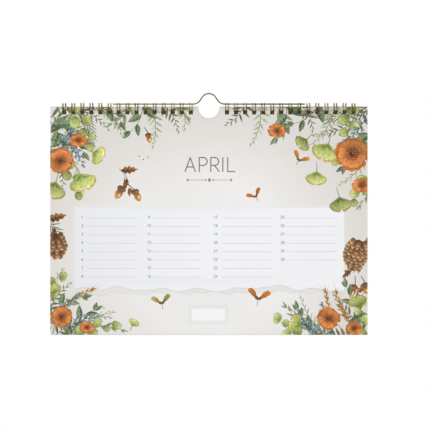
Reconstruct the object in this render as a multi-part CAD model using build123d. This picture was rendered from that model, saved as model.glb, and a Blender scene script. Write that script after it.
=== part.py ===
from build123d import *

import os
from math import cos, hypot, pi, radians, sin, sqrt, tan

# Wall calendar for birthdays, open at April and hung on a nail. Its leaves and a board
# hang in two lengths of twin-loop wire, and a bent wire hanger lies inside the rings.
# Millimetres. +X is to the right, +Z is up and -Y is the printed front.
# The origin is the point of the hook that bears on the nail.

# Leaves and board
page_width = 297.0
page_height = 213.0
leaf_thickness = 0.15
leaves_in_front = 9
leaves_turned = 4
board_thickness = 0.7

# Punched row and thumb notch
hole_pitch = 25.4 / 3
hole_side = 4.0
hole_margin = 3.0
holes_each_side = 15
holes_left_out = 3
notch_radius = 9.7
notch_depth = 11.0

# Twin-loop wire
wire_diameter = 0.9
ring_inner_radius = 3.5
ring_flats = 12
root_angle = 32.0
root_flare = 0.7
tip_chamfer = 0.6
stub = 0.2
cut_end = 0.8

# Hanger
hanger_diameter = 1.2
hanger_length = 180.0
hook_rise = 9.8
crown_radius = 7.5
foot_radius = 8.0
flank_angle = 55.0
hanger_flats = 12

# Clearances
hole_play = 0.3
leaf_gap = 0.1
seam_gap = 0.12
seat_gap = 0.05

# Both wires are round. Their flat-sided sections here keep the round wire's area.
wire_side = wire_diameter * sqrt(pi) / 2
hanger_corner_radius = hanger_diameter * sqrt(
    pi / (2 * hanger_flats * sin(2 * pi / hanger_flats))
)
loop_spacing = hole_side - wire_diameter - 2 * hole_play
flat_angle = 360.0 / ring_flats
corner_radius = ring_inner_radius / cos(radians(flat_angle / 2)) + wire_side / 2
seam_length = 2 * corner_radius * sin(radians(flat_angle / 2))

# Heights, from the nail down
arm_z = hanger_diameter / 2 - hook_rise
ring_z = arm_z - (ring_inner_radius - seat_gap - hanger_diameter / 2)


def ring_corner(step):
    """Corner of the ring's centre line, in the plane across the rings.

    Step 0 is the root of the loops, low behind the board. Steps run up the back, over
    the top and down the front, to the loops' tips at the seam again.
    """
    angle = radians(root_angle + step * flat_angle)
    return (corner_radius * sin(angle), -corner_radius * cos(angle))


def along(start, end, distance):
    """Point at a distance from start on the line to end."""
    share = distance / hypot(end[0] - start[0], end[1] - start[1])
    return tuple(a + share * (b - a) for a, b in zip(start, end))


def strip(points, width):
    """Flat strip of even width along an open line, with mitred corners."""
    headings = []
    for start, end in zip(points, points[1:]):
        length = hypot(end[0] - start[0], end[1] - start[1])
        headings.append(((end[0] - start[0]) / length, (end[1] - start[1]) / length))
    left = []
    right = []
    for point, before, after in zip(points, headings[:1] + headings, headings + headings[-1:]):
        turn = 1 + before[0] * after[0] + before[1] * after[1]
        across = (-(before[1] + after[1]) / turn, (before[0] + after[0]) / turn)
        left.append((point[0] + across[0] * width / 2, point[1] + across[1] * width / 2))
        right.append((point[0] - across[0] * width / 2, point[1] - across[1] * width / 2))
    return make_face(Polyline(*left, *reversed(right), close=True))


# The seam of the wire: roots and tips of the loops lie in one flat, next to each other.
root_corner = ring_corner(0)
tip_corner = ring_corner(ring_flats - 1)
root_length = stub + root_flare
tip_length = seam_length - root_length
seam_heading = (
    (tip_corner[0] - root_corner[0]) / seam_length,
    (tip_corner[1] - root_corner[1]) / seam_length,
)
bridge_y, bridge_z = along(root_corner, tip_corner, root_length)
bridge_reach = wire_side / 2 * (abs(seam_heading[0]) + abs(seam_heading[1]))

# Places of the sheets, front to back of the seam
board_back = bridge_y - bridge_reach - seam_gap
board_front = board_back - board_thickness
leaves_back = board_front - leaf_gap
leaves_front = leaves_back - leaves_in_front * leaf_thickness
turned_front = bridge_y + bridge_reach + seam_gap
turned_back = turned_front + leaves_turned * leaf_thickness

first_hole = (holes_left_out + 1) / 2 * hole_pitch
hole_places = [first_hole + step * hole_pitch for step in range(holes_each_side)]


def sheet(front, back):
    """Sheet, or block of leaves, that hangs by its holes on the inside of the rings."""
    reach = max(abs(front), abs(back))
    hole_top = ring_z - sqrt(ring_inner_radius**2 - reach**2) + seat_gap
    top = hole_top + hole_margin
    outline = Pos(0, top - page_height / 2) * Rectangle(page_width, page_height)
    hole = Pos(0, hole_top - hole_side / 2) * Rectangle(hole_side, hole_side)
    holes = [Pos(side * place, 0) * hole for place in hole_places for side in (-1, 1)]
    notch = Pos(0, top - notch_depth + notch_radius) * Circle(notch_radius)
    profile = outline - holes - notch
    return extrude(Plane((0, back, 0), x_dir=(1, 0, 0), z_dir=(0, -1, 0)) * profile, back - front)


def loop_leg():
    """One leg of a loop: nearly a whole turn of wire, from its root to its tip."""
    corners = [ring_corner(step) for step in range(ring_flats)]
    start = along(root_corner, tip_corner, stub)
    end = along(tip_corner, root_corner, stub)
    profile = strip([start, *corners, end], wire_side)
    across = Plane((-wire_side / 2, 0, ring_z), x_dir=(0, 1, 0), z_dir=(1, 0, 0))
    return extrude(across * profile, wire_side)


# Flat of the seam: its own X runs along the row, and its own Y from root to tip.
seam = Plane(
    (0, root_corner[0], ring_z + root_corner[1]),
    x_dir=(1, 0, 0),
    z_dir=(0, -seam_heading[1], seam_heading[0]),
)


def seam_wire(points):
    """Wire along an open line in the flat of the seam."""
    return extrude(seam * strip(points, wire_side), wire_side / 2, both=True)


def loop_tip():
    """Bent end that joins the two legs of a loop."""
    half = loop_spacing / 2
    apex = seam_length - tip_length
    bend = apex + tip_chamfer
    leg_end = seam_length - stub
    return seam_wire(
        [
            (-half, leg_end),
            (-half, bend),
            (tip_chamfer - half, apex),
            (half - tip_chamfer, apex),
            (half, bend),
            (half, leg_end),
        ]
    )


def bridge():
    """Straight wire that joins two neighbouring loops at their roots."""
    start = loop_spacing / 2
    end = hole_pitch - loop_spacing / 2
    return seam_wire(
        [
            (start, stub),
            (start + root_flare, root_length),
            (end - root_flare, root_length),
            (end, stub),
        ]
    )


def wire_end(side):
    """Short length left at the first or last root, where the wire was cut."""
    start = side * loop_spacing / 2
    flare = start + side * root_flare
    return seam_wire([(start, stub), (flare, root_length), (flare + side * cut_end, root_length)])


def wire_binding(places):
    """One length of twin-loop wire, bent from a single wire, with a loop at each place."""
    leg = loop_leg()
    tip = loop_tip()
    link = bridge()
    pieces = []
    for place in places:
        pieces.append(Pos(place - loop_spacing / 2, 0, 0) * leg)
        pieces.append(Pos(place + loop_spacing / 2, 0, 0) * leg)
        pieces.append(Pos(place, 0, 0) * tip)
    pieces += [Pos(place, 0, 0) * link for place in places[:-1]]
    pieces.append(Pos(places[0], 0, 0) * wire_end(-1))
    pieces.append(Pos(places[-1], 0, 0) * wire_end(1))
    return pieces[0] + pieces[1:]


def hanger():
    """Wire with a straight arm on each side and a bell-shaped hook in the middle."""
    flank = radians(flank_angle)
    crown = CenterArc(
        (0, arm_z + hook_rise - crown_radius), crown_radius, 90 - flank_angle, 2 * flank_angle
    )
    foot_height = foot_radius * (1 - cos(flank))
    crown_height = hook_rise - crown_radius * (1 - cos(flank))
    foot_x = crown_radius * sin(flank) + (crown_height - foot_height) / tan(flank)
    foot_end = foot_x + foot_radius * sin(flank)
    right = [
        Line(crown @ 0, (foot_x, arm_z + foot_height)),
        CenterArc((foot_end, arm_z + foot_radius), foot_radius, 270 - flank_angle, flank_angle),
        Line((foot_end, arm_z), (hanger_length / 2, arm_z)),
    ]
    left = [edge.mirror(Plane.YZ) for edge in right]
    path = Wire([crown, *right, *left])
    upright = Plane.XZ * path
    end = Plane((-hanger_length / 2, 0, arm_z), x_dir=(0, 1, 0), z_dir=(1, 0, 0))
    return sweep(end * RegularPolygon(hanger_corner_radius, hanger_flats), path=upright)


right_places = hole_places
left_places = [-place for place in reversed(hole_places)]

nodes = {
    "month_leaves": sheet(leaves_front, leaves_back),
    "backing_board": sheet(board_front, board_back),
    "turned_leaves": sheet(turned_front, turned_back),
    "wire_binding_left": wire_binding(left_places),
    "wire_binding_right": wire_binding(right_places),
    "hanger": hanger(),
}

os.makedirs("parts", exist_ok=True)
for name, solid in nodes.items():
    export_step(solid, f"parts/{name}.step")
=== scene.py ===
import logging
import math
import random
from collections.abc import Callable
from dataclasses import dataclass, field
from enum import Enum
from functools import partial

import bmesh
import bpy
import numpy as np
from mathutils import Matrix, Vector
from mathutils.geometry import delaunay_2d_cdt


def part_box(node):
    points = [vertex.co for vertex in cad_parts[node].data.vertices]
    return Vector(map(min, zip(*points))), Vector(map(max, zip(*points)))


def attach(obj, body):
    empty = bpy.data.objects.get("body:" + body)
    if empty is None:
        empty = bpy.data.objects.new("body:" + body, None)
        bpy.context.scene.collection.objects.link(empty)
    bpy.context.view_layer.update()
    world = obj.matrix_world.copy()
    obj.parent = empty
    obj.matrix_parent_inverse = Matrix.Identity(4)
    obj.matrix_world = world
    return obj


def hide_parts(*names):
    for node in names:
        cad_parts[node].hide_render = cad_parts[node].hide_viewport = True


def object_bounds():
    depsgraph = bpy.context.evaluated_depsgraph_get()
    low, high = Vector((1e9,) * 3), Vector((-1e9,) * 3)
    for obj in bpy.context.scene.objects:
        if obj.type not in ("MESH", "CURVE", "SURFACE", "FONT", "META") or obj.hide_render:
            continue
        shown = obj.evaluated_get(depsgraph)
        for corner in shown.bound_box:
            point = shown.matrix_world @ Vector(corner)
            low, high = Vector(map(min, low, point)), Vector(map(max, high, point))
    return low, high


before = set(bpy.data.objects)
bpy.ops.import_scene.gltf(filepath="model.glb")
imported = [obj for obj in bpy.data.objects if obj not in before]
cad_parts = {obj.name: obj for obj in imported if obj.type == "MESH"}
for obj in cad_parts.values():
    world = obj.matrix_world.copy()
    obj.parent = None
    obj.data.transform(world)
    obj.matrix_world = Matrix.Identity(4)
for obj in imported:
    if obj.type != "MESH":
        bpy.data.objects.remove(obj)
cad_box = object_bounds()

# A wall calendar for birthdays, open at April. The frame gives the solids of the leaves,
# the board, the twin-loop wire and the hanger, and this script gives them their looks.
# Metres. +X is to the right, +Z is up and -Y is the printed front.
# Sizes are written in millimetres and multiplied by MM.

MM = 0.001
HOLE_PITCH = 25.4 / 3
FIRST_HOLE = 2 * HOLE_PITCH
LAST_HOLE = 16 * HOLE_PITCH
IN_FRONT = 9
TURNED_OVER = 4
AIR = 0.03
LOG = logging.getLogger("birthday calendar")

Point = tuple[float, float]
Colour = tuple[float, float, float]
Rgba = tuple[float, float, float, float]
Shape = tuple[Point, ...]
Socket = bpy.types.NodeSocket


def linear(colour: Colour, alpha: float = 1.0) -> Rgba:
    """Turn a display colour of 0 to 255 into a shader's linear colour, with a cover of 0 to 1."""
    shares = [channel / 255 for channel in colour]
    return (*(s / 12.92 if s <= 0.04045 else ((s + 0.055) / 1.055) ** 2.4 for s in shares), alpha)


class Graph:
    """Node tree that is written in code, for a shape or for a finish."""

    def __init__(self, tree: bpy.types.NodeTree) -> None:
        """Take the tree that the nodes go into."""
        self.tree = tree

    def feed(self, node: bpy.types.Node, inputs: dict) -> None:
        """Give a node a value or a link for each input that is named or numbered.

        Args:
            node: The node that is fed.
            inputs: For each socket's name or number, a value or another node's output.
        """
        for key, value in inputs.items():
            if isinstance(value, Socket):
                self.tree.links.new(value, node.inputs[key])
            else:
                node.inputs[key].default_value = value

    def node(self, kind: str, inputs: dict | None = None, **settings: object) -> bpy.types.Node:
        """Add a node.

        Args:
            kind: The node's type.
            inputs: For each socket's name or number, a value or another node's output.
            settings: The node's own options.

        Returns:
            The new node.
        """
        made = self.tree.nodes.new(kind)
        for name, value in settings.items():
            setattr(made, name, value)
        self.feed(made, inputs or {})
        return made

    def out(self, kind: str, inputs: dict | None = None, **settings: object) -> Socket:
        """Add a node and give its first output."""
        return self.node(kind, inputs, **settings).outputs[0]

    def maths(self, operation: str, *values: object) -> Socket:
        """Add a Math node and give its result."""
        return self.out("ShaderNodeMath", dict(enumerate(values)), operation=operation)

    def vector(self, x: object = 0.0, y: object = 0.0, z: object = 0.0) -> Socket:
        """Join three numbers in a vector."""
        return self.out("ShaderNodeCombineXYZ", {0: x, 1: y, 2: z})

    def noise(self, place: Socket, scale: float, detail: float, **more: float) -> Socket:
        """Add a noise texture and give its value."""
        return self.out("ShaderNodeTexNoise", {"Vector": place, "Scale": scale, "Detail": detail, **more})

    def remap(self, value: Socket, low: float, high: float, start: float = 0.0, end: float = 1.0) -> Socket:
        """Move a value from one range to another, and hold it at that range's ends."""
        ends = {"From Min": low, "From Max": high, "To Min": start, "To Max": end}
        return self.out("ShaderNodeMapRange", {"Value": value, **ends})

    def mix(self, share: Socket, below: object, above: object) -> Socket:
        """Mix two colours."""
        return self.node("ShaderNodeMix", {"Factor": share, 6: below, 7: above}, data_type="RGBA").outputs[2]


class ShapeTree(Graph):
    """Geometry Nodes tree with named inputs, used as a modifier that is applied at once."""

    def __init__(self, name: str) -> None:
        """Start a tree with one geometry input and one geometry output.

        Args:
            name: The tree's name.
        """
        super().__init__(bpy.data.node_groups.new(name, "GeometryNodeTree"))
        for direction in ("INPUT", "OUTPUT"):
            self.tree.interface.new_socket("Geometry", in_out=direction, socket_type="NodeSocketGeometry")
        self.entry = self.tree.nodes.new("NodeGroupInput")
        self.exit = self.tree.nodes.new("NodeGroupOutput")

    def sizes(self, names: str, kind: str = "Float") -> list[Socket]:
        """Add inputs of one kind, named in one text with commas, and give their sockets.

        Args:
            names: The inputs' names, in one text with commas.
            kind: Type of the sockets.

        Returns:
            One socket for each name.
        """
        listed = names.split(", ")
        for name in listed:
            self.tree.interface.new_socket(name, in_out="INPUT", socket_type="NodeSocket" + kind)
        return [self.entry.outputs[name] for name in listed]

    def copies(self, points: Socket, rotation: Socket, scale: Socket) -> Socket:
        """Set a copy of the tree's geometry input on each point."""
        links = {"Points": points, "Instance": self.entry.outputs[0], "Rotation": rotation, "Scale": scale}
        return self.out("GeometryNodeInstanceOnPoints", links)

    def spread(self, seed: Socket) -> Socket:
        """Give each copy a random number from -1 to 1."""
        node = self.node("FunctionNodeRandomValue", {2: -1.0, 3: 1.0, 8: seed}, data_type="FLOAT")
        return node.outputs[1]

    def close(self, geometry: Socket) -> None:
        """End the tree in Realize Instances and Set Material.

        Args:
            geometry: The shape that the tree makes.
        """
        (material,) = self.sizes("Material", "Material")
        real = self.out("GeometryNodeRealizeInstances", {0: geometry})
        dressed = self.out("GeometryNodeSetMaterial", {"Geometry": real, "Material": material})
        self.feed(self.exit, {0: dressed})

    def run(self, mesh: bpy.types.Mesh, **values: object) -> bpy.types.Mesh:
        """Run the tree on a mesh.

        Args:
            mesh: What goes in at the tree's geometry input.
            values: A value for each named input, with spaces written as underscores.

        Returns:
            The finished mesh, with no modifier behind it.
        """
        seed = bpy.data.objects.new("seed", mesh)
        bpy.context.scene.collection.objects.link(seed)
        modifier = seed.modifiers.new("shape", "NODES")
        modifier.node_group = self.tree
        sockets = {item.name: item.identifier for item in self.tree.interface.items_tree}
        for key, value in values.items():
            modifier[sockets[key.replace("_", " ")]] = value
        graph = bpy.context.evaluated_depsgraph_get()
        graph.update()
        grown = bpy.data.meshes.new_from_object(seed.evaluated_get(graph), depsgraph=graph)
        bpy.data.objects.remove(seed)
        return grown


def add_piece(name: str, mesh: bpy.types.Mesh) -> bpy.types.Object:
    """Put a finished mesh in the scene, with its object at the origin.

    Args:
        name: Name of the piece and its mesh.
        mesh: The finished mesh.

    Returns:
        The new object.
    """
    mesh.name = name
    piece = bpy.data.objects.new(name, mesh)
    bpy.context.scene.collection.objects.link(piece)
    return piece


def dress(name: str, mesh: bpy.types.Mesh, node: str, body: str) -> bpy.types.Object:
    """Put a finished mesh in the scene in place of a solid, on the body that it rides.

    Args:
        name: Name of the piece.
        mesh: Its finished mesh.
        node: The solid that it stands for.
        body: The body that it rides.

    Returns:
        The new object.
    """
    piece = add_piece(name, mesh)
    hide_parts(node)
    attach(piece, body)
    return piece


# Finishes


def surface(name: str) -> tuple[bpy.types.Material, Graph, bpy.types.Node]:
    """Start a material, and give it with its graph and its shader.

    Args:
        name: The material's name.

    Returns:
        The material, its graph and its shader.
    """
    material = bpy.data.materials.new(name)
    material.use_nodes = True
    return material, Graph(material.node_tree), material.node_tree.nodes["Principled BSDF"]


@dataclass(frozen=True)
class AntiqueBrass:
    """Plated wire: brass with darker bronze in patches, fine scratches and a soft gloss, and, where colours
    for the ends are given, painted light and shade that blend in towards the left and right ends.
    """

    name: str
    bright: Colour
    dark: Colour
    # Colours of the painted light and shade towards the left and right ends, and the runs in millimetres
    # over which they blend in.
    left: Colour | None = None
    right: Colour | None = None
    left_run: Point = (-14.0, -40.0)
    right_run: Point = (14.0, 50.0)
    roughness: float = 0.3
    patch_scale: float = 160.0
    scratch_scale: float = 2400.0

    def make(self) -> bpy.types.Material:
        """Build the metal, whose colour and gloss vary over the wire."""
        material, graph, shader = surface(self.name)
        place = graph.node("ShaderNodeTexCoord").outputs["Object"]
        ramp = graph.node("ShaderNodeValToRGB", {0: graph.noise(place, self.patch_scale, 4.0)})
        for stop, position, tone in zip(ramp.color_ramp.elements, (0.36, 0.62), (self.dark, self.bright)):
            stop.position = position
            stop.color = linear(tone)
        colour = ramp.outputs[0]
        across = graph.out("ShaderNodeSeparateXYZ", {0: place})
        # Painted light and shade: the colour blends towards the end colours along x.
        for tone, (near, far) in ((self.left, self.left_run), (self.right, self.right_run)):
            if tone:
                colour = graph.mix(graph.remap(across, near * MM, far * MM), colour, linear(tone))
        scratches = graph.noise(place, self.scratch_scale, 2.0)
        gloss = graph.remap(scratches, 0.0, 1.0, self.roughness - 0.08, self.roughness + 0.14)
        bump = graph.out("ShaderNodeBump", {"Height": scratches, "Strength": 0.12, "Distance": 0.05 * MM})
        graph.feed(shader, {"Base Color": colour, "Roughness": gloss, "Normal": bump, "Metallic": 1.0})
        return material


@dataclass(frozen=True)
class Stock:
    """Uncoated paper or board: a tint with soft clouds, fibres and a faint tooth.

    A stock with an edge colour is printed: it also shows the inks of the ink attribute, and it gets painted
    shade in that colour towards the top and the sides of the page.
    """

    name: str
    tint: Colour
    cloud: Colour
    fleck: Colour
    fleck_cover: float
    tooth: float
    # Colour of the painted shade at the page's top and sides, given only for printed stock.
    edge: Colour | None = None
    cloud_scale: float = 9.0
    fibre_scale: float = 2200.0
    wash_scale: float = 420.0

    def make(self) -> bpy.types.Material:
        """Build the matt surface."""
        material, graph, shader = surface(self.name)
        place = graph.node("ShaderNodeTexCoord").outputs["Object"]
        drift = graph.remap(graph.noise(place, self.cloud_scale, 3.0), 0.35, 0.65)
        colour = graph.mix(drift, linear(self.tint), linear(self.cloud))
        # Painted shade: darker towards the page's top and sides.
        if self.edge:
            colour = graph.mix(self.far_out(graph, place), colour, linear(self.edge))
        long_way = graph.out("ShaderNodeMapping", {"Vector": place, "Scale": (1.0, 1.0, 0.35)})
        fibres = graph.noise(long_way, self.fibre_scale, 3.0, Roughness=0.7)
        flecks = graph.remap(fibres, 0.5, 0.78, 0.0, self.fleck_cover)
        colour = graph.mix(flecks, colour, linear(self.fleck))
        if self.edge:
            colour = self.print_over(graph, place, colour)
        bump = graph.out("ShaderNodeBump", {"Height": fibres, "Strength": self.tooth, "Distance": 0.05 * MM})
        matt = {"Roughness": 0.82, "Specular IOR Level": 0.25}
        graph.feed(shader, {"Base Color": colour, "Normal": bump, **matt})
        return material

    @staticmethod
    def far_out(graph: Graph, place: Socket) -> Socket:
        """Give the share of painted shade: 0 in the lower middle of the page, rising to 1 at its top and its
        sides.

        Args:
            graph: The finish's graph.
            place: Place of the point on the page.

        Returns:
            A share from 0 to 1.
        """
        centred = graph.out("ShaderNodeMapping", {"Vector": place, "Location": (0.0, 0.0, 150 * MM)})
        shrunk = graph.out("ShaderNodeVectorMath", {0: centred, 1: (6.7, 0.0, 7.7)}, operation="MULTIPLY")
        away = graph.node("ShaderNodeVectorMath", {0: shrunk}, operation="LENGTH").outputs["Value"]
        return graph.remap(away, 0.55, 1.05)

    def print_over(self, graph: Graph, place: Socket, paper: Socket) -> Socket:
        """Lay the inks over the paper's colour, with the uneven wash of a hand-coloured plate.

        Args:
            graph: The finish's graph.
            place: Place of the point on the page.
            paper: Colour of the bare paper.

        Returns:
            Colour of the printed paper.
        """
        ink = graph.node("ShaderNodeAttribute", attribute_name="ink")
        depth = graph.remap(graph.noise(place, self.wash_scale, 5.0), 0.3, 0.7, 0.74, 1.2)
        hue = graph.node("ShaderNodeSeparateColor", {0: ink.outputs["Color"]}, mode="HSV")
        strength = graph.remap(hue.outputs[1], 0.1, 0.3)
        uneven = graph.out("ShaderNodeMix", {0: strength, 2: 1.0, 3: depth})
        wash = {0: ink.outputs["Color"], "Scale": uneven}
        toned = graph.out("ShaderNodeVectorMath", wash, operation="SCALE")
        return graph.mix(ink.outputs["Alpha"], paper, toned)


# Wire


@dataclass
class BentWire:
    """Round wire that is bent at corners of a given radius and may repeat along a row."""

    diameter: float
    sides: int
    corners: list[Vector] = field(default_factory=list)
    bends: list[float] = field(default_factory=list)
    steps: list[int] = field(default_factory=list)

    def corner(self, x: float, y: float, z: float, bend: float = 0.0, steps: int = 1) -> None:
        """Add a corner of the wire's path, in metres, with the radius that it is bent to.

        Args:
            x: Place to the right.
            y: Place to the back.
            z: Height.
            bend: Radius of the bend, or 0 at an end.
            steps: Number of steps in the bend.
        """
        self.corners.append(Vector((x, y, z)))
        self.bends.append(bend)
        self.steps.append(steps)

    def swept(
        self, tree: ShapeTree, material: bpy.types.Material, repeats: int = 1, pitch: float = 0.0,
        cut: float = 0.0,
    ) -> bpy.types.Mesh:
        """Bend and sweep the wire.

        Args:
            tree: The tree of wire_tree.
            material: The wire's finish.
            repeats: Number of copies of the path, joined end to end.
            pitch: Distance between the copies.
            cut: Length that is cut off at both ends.

        Returns:
            The finished wire.
        """
        mesh = bpy.data.meshes.new("wire_path")
        edges = [(index, index + 1) for index in range(len(self.corners) - 1)]
        mesh.from_pydata(self.corners, edges, [])
        mesh.attributes.new("bend", "FLOAT", "POINT").data.foreach_set("value", self.bends)
        mesh.attributes.new("steps", "INT", "POINT").data.foreach_set("value", self.steps)
        return tree.run(
            mesh, Repeats=repeats, Pitch=pitch, Cut=cut, Radius=self.diameter / 2, Sides=self.sides,
            Material=material,
        )


def wire_tree() -> ShapeTree:
    """Build the tree that repeats a path, joins it end to end, bends it and sweeps the wire."""
    tree = ShapeTree("bent wire")
    repeats, sides = tree.sizes("Repeats, Sides", "Int")
    pitch, cut, radius = tree.sizes("Pitch, Cut, Radius")
    row = tree.out("GeometryNodeMeshLine", {"Count": repeats, "Offset": tree.vector(pitch)}, mode="OFFSET")
    units = tree.out("GeometryNodeInstanceOnPoints", {"Points": row, "Instance": tree.entry.outputs[0]})
    loose = tree.out("GeometryNodeRealizeInstances", {0: units})
    joined = tree.out("GeometryNodeMergeByDistance", {"Geometry": loose, "Distance": 0.01 * MM})
    line = tree.out("GeometryNodeMeshToCurve", {"Mesh": joined})
    bend = tree.out("GeometryNodeInputNamedAttribute", {"Name": "bend"}, data_type="FLOAT")
    steps = tree.out("GeometryNodeInputNamedAttribute", {"Name": "steps"}, data_type="INT")
    turns = {"Curve": line, "Radius": bend, "Count": steps, "Limit Radius": True}
    bent = tree.out("GeometryNodeFilletCurve", turns, mode="POLY")
    rest = tree.maths("SUBTRACT", tree.out("GeometryNodeCurveLength", {0: bent}), cut)
    trimmed = tree.out("GeometryNodeTrimCurve", {"Curve": bent, 4: cut, 5: rest}, mode="LENGTH")
    section = tree.out("GeometryNodeCurvePrimitiveCircle", {"Radius": radius, "Resolution": sides})
    wire = {"Curve": trimmed, "Profile Curve": section, "Fill Caps": True}
    swept = tree.out("GeometryNodeCurveToMesh", wire)
    tree.close(tree.out("GeometryNodeSetShadeSmooth", {"Geometry": swept}))
    return tree


@dataclass
class TwinLoopBinding:
    """Row of double loops bent from one wire, which holds the leaves on one side of the notch."""

    name: str
    first_place: float
    tree: ShapeTree
    material: bpy.types.Material
    diameter: float = 0.9 * MM
    inner_radius: float = 3.5 * MM
    pitch: float = HOLE_PITCH * MM
    loops: int = 15
    leg_spacing: float = 2.5 * MM
    flats: int = 12
    root_angle: float = 32.0
    root_length: float = 0.9 * MM
    root_flare: float = 0.7 * MM
    tip_chamfer: float = 0.6 * MM
    small_bend: float = 0.6 * MM
    tip_bend: float = 1.2 * MM
    cut_end: float = 0.8 * MM
    axis_drop: float = 12.05 * MM

    def ring_point(self, step: int) -> Point:
        """Give a corner of the ring's path, from the ring's axis: how far back and how high.

        Args:
            step: Number of the corner, counted from the loops' roots.

        Returns:
            How far back and how high the corner is.
        """
        flat = 2 * math.pi / self.flats
        reach = (self.inner_radius + self.diameter / 2) / math.cos(flat / 2)
        angle = math.radians(self.root_angle) + step * flat
        return (reach * math.sin(angle), -reach * math.cos(angle))

    def seam_point(self, distance: float) -> Point:
        """Give a point in the flat of the seam, at a distance from the loops' roots.

        Args:
            distance: Distance from the roots, in metres.

        Returns:
            How far back and how high the point is.
        """
        root = Vector(self.ring_point(0))
        tip = Vector(self.ring_point(self.flats - 1))
        return tuple(root + (tip - root).normalized() * distance)

    def half_loop(self) -> list[tuple[float, Point, float, int]]:
        """List the corners from the middle of a bridge to the middle of a loop's tip.

        Returns:
            For each corner: its distance from the loop's middle, its place across the row,
            its bend and the number of steps in that bend.
        """
        half = self.leg_spacing / 2
        ring = self.inner_radius + self.diameter / 2
        bridge = self.seam_point(self.root_length)
        nose = self.seam_point(self.root_length + self.tip_chamfer)
        corners = [
            (self.pitch / 2, bridge, 0.0, 1),
            (half + self.root_flare, bridge, self.small_bend, 4),
            (half, self.ring_point(0), self.small_bend, 4),
        ]
        corners += [(half, self.ring_point(step), ring, 4) for step in range(1, self.flats - 1)]
        corners += [
            (half, self.ring_point(self.flats - 1), self.tip_bend, 3),
            (half, nose, self.small_bend, 3),
            (half - self.tip_chamfer, bridge, self.small_bend, 3),
        ]
        return corners

    def build(self) -> bpy.types.Object:
        """Bend one loop, repeat it along the row and put it in place of the solid."""
        wire = BentWire(self.diameter, sides=12)
        half = self.half_loop()
        for side, corners in ((-1, half), (1, reversed(half))):
            for away, (y, z), bend, steps in corners:
                wire.corner(self.first_place + side * away, y, z - self.axis_drop, bend, steps)
        spare = self.pitch / 2 - self.leg_spacing / 2 - self.root_flare - self.cut_end
        mesh = wire.swept(self.tree, self.material, self.loops, self.pitch, spare)
        return dress(self.name + "_wire", mesh, self.name, "binding")


@dataclass
class Hanger:
    """Wire with a straight arm on each side and a bell-shaped hook over the notch."""

    tree: ShapeTree
    material: bpy.types.Material
    diameter: float = 1.2 * MM
    length: float = 180.0 * MM
    hook_rise: float = 9.8 * MM
    crown_radius: float = 7.5 * MM
    foot_radius: float = 8.0 * MM
    flank_angle: float = 55.0

    def build(self) -> bpy.types.Object:
        """Bend the hook and put it in place of the solid."""
        flank = math.radians(self.flank_angle)
        crown_top = self.diameter / 2
        arm = crown_top - self.hook_rise
        peak = crown_top - self.crown_radius + self.crown_radius / math.cos(flank)
        foot = (peak - arm) / math.tan(flank)
        wire = BentWire(self.diameter, sides=16)
        wire.corner(-self.length / 2, 0, arm)
        wire.corner(-foot, 0, arm, self.foot_radius, 12)
        wire.corner(0, 0, peak, self.crown_radius, 30)
        wire.corner(foot, 0, arm, self.foot_radius, 12)
        wire.corner(self.length / 2, 0, arm)
        return dress("hanger_wire", wire.swept(self.tree, self.material), "hanger", "hanger")


# Paper


@dataclass
class Ink:
    """One flat shape of print, whose colour and cover may run from one point to another."""

    outline: list[Point]
    colour: Colour
    end_colour: Colour | None = None
    start: Point = (0.0, 0.0)
    end: Point = (0.0, 1.0)
    cover: float = 1.0
    end_cover: float | None = None

    def at(self, x: float, z: float) -> Rgba:
        """Give the linear colour and the cover of the ink at a point of the page.

        Args:
            x: Place across the page.
            z: Place below the page's top edge, as a negative number.

        Returns:
            The linear colour, with the cover as its last number.
        """
        if self.end_colour is None and self.end_cover is None:
            return linear(self.colour, self.cover)
        run = (self.end[0] - self.start[0], self.end[1] - self.start[1])
        length = run[0] ** 2 + run[1] ** 2
        share = ((x - self.start[0]) * run[0] + (z - self.start[1]) * run[1]) / length
        share = min(1.0, max(0.0, share))
        last_cover = self.cover if self.end_cover is None else self.end_cover
        near = linear(self.colour, self.cover)
        far = linear(self.end_colour or self.colour, last_cover)
        return tuple(a + share * (b - a) for a, b in zip(near, far))


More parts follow.
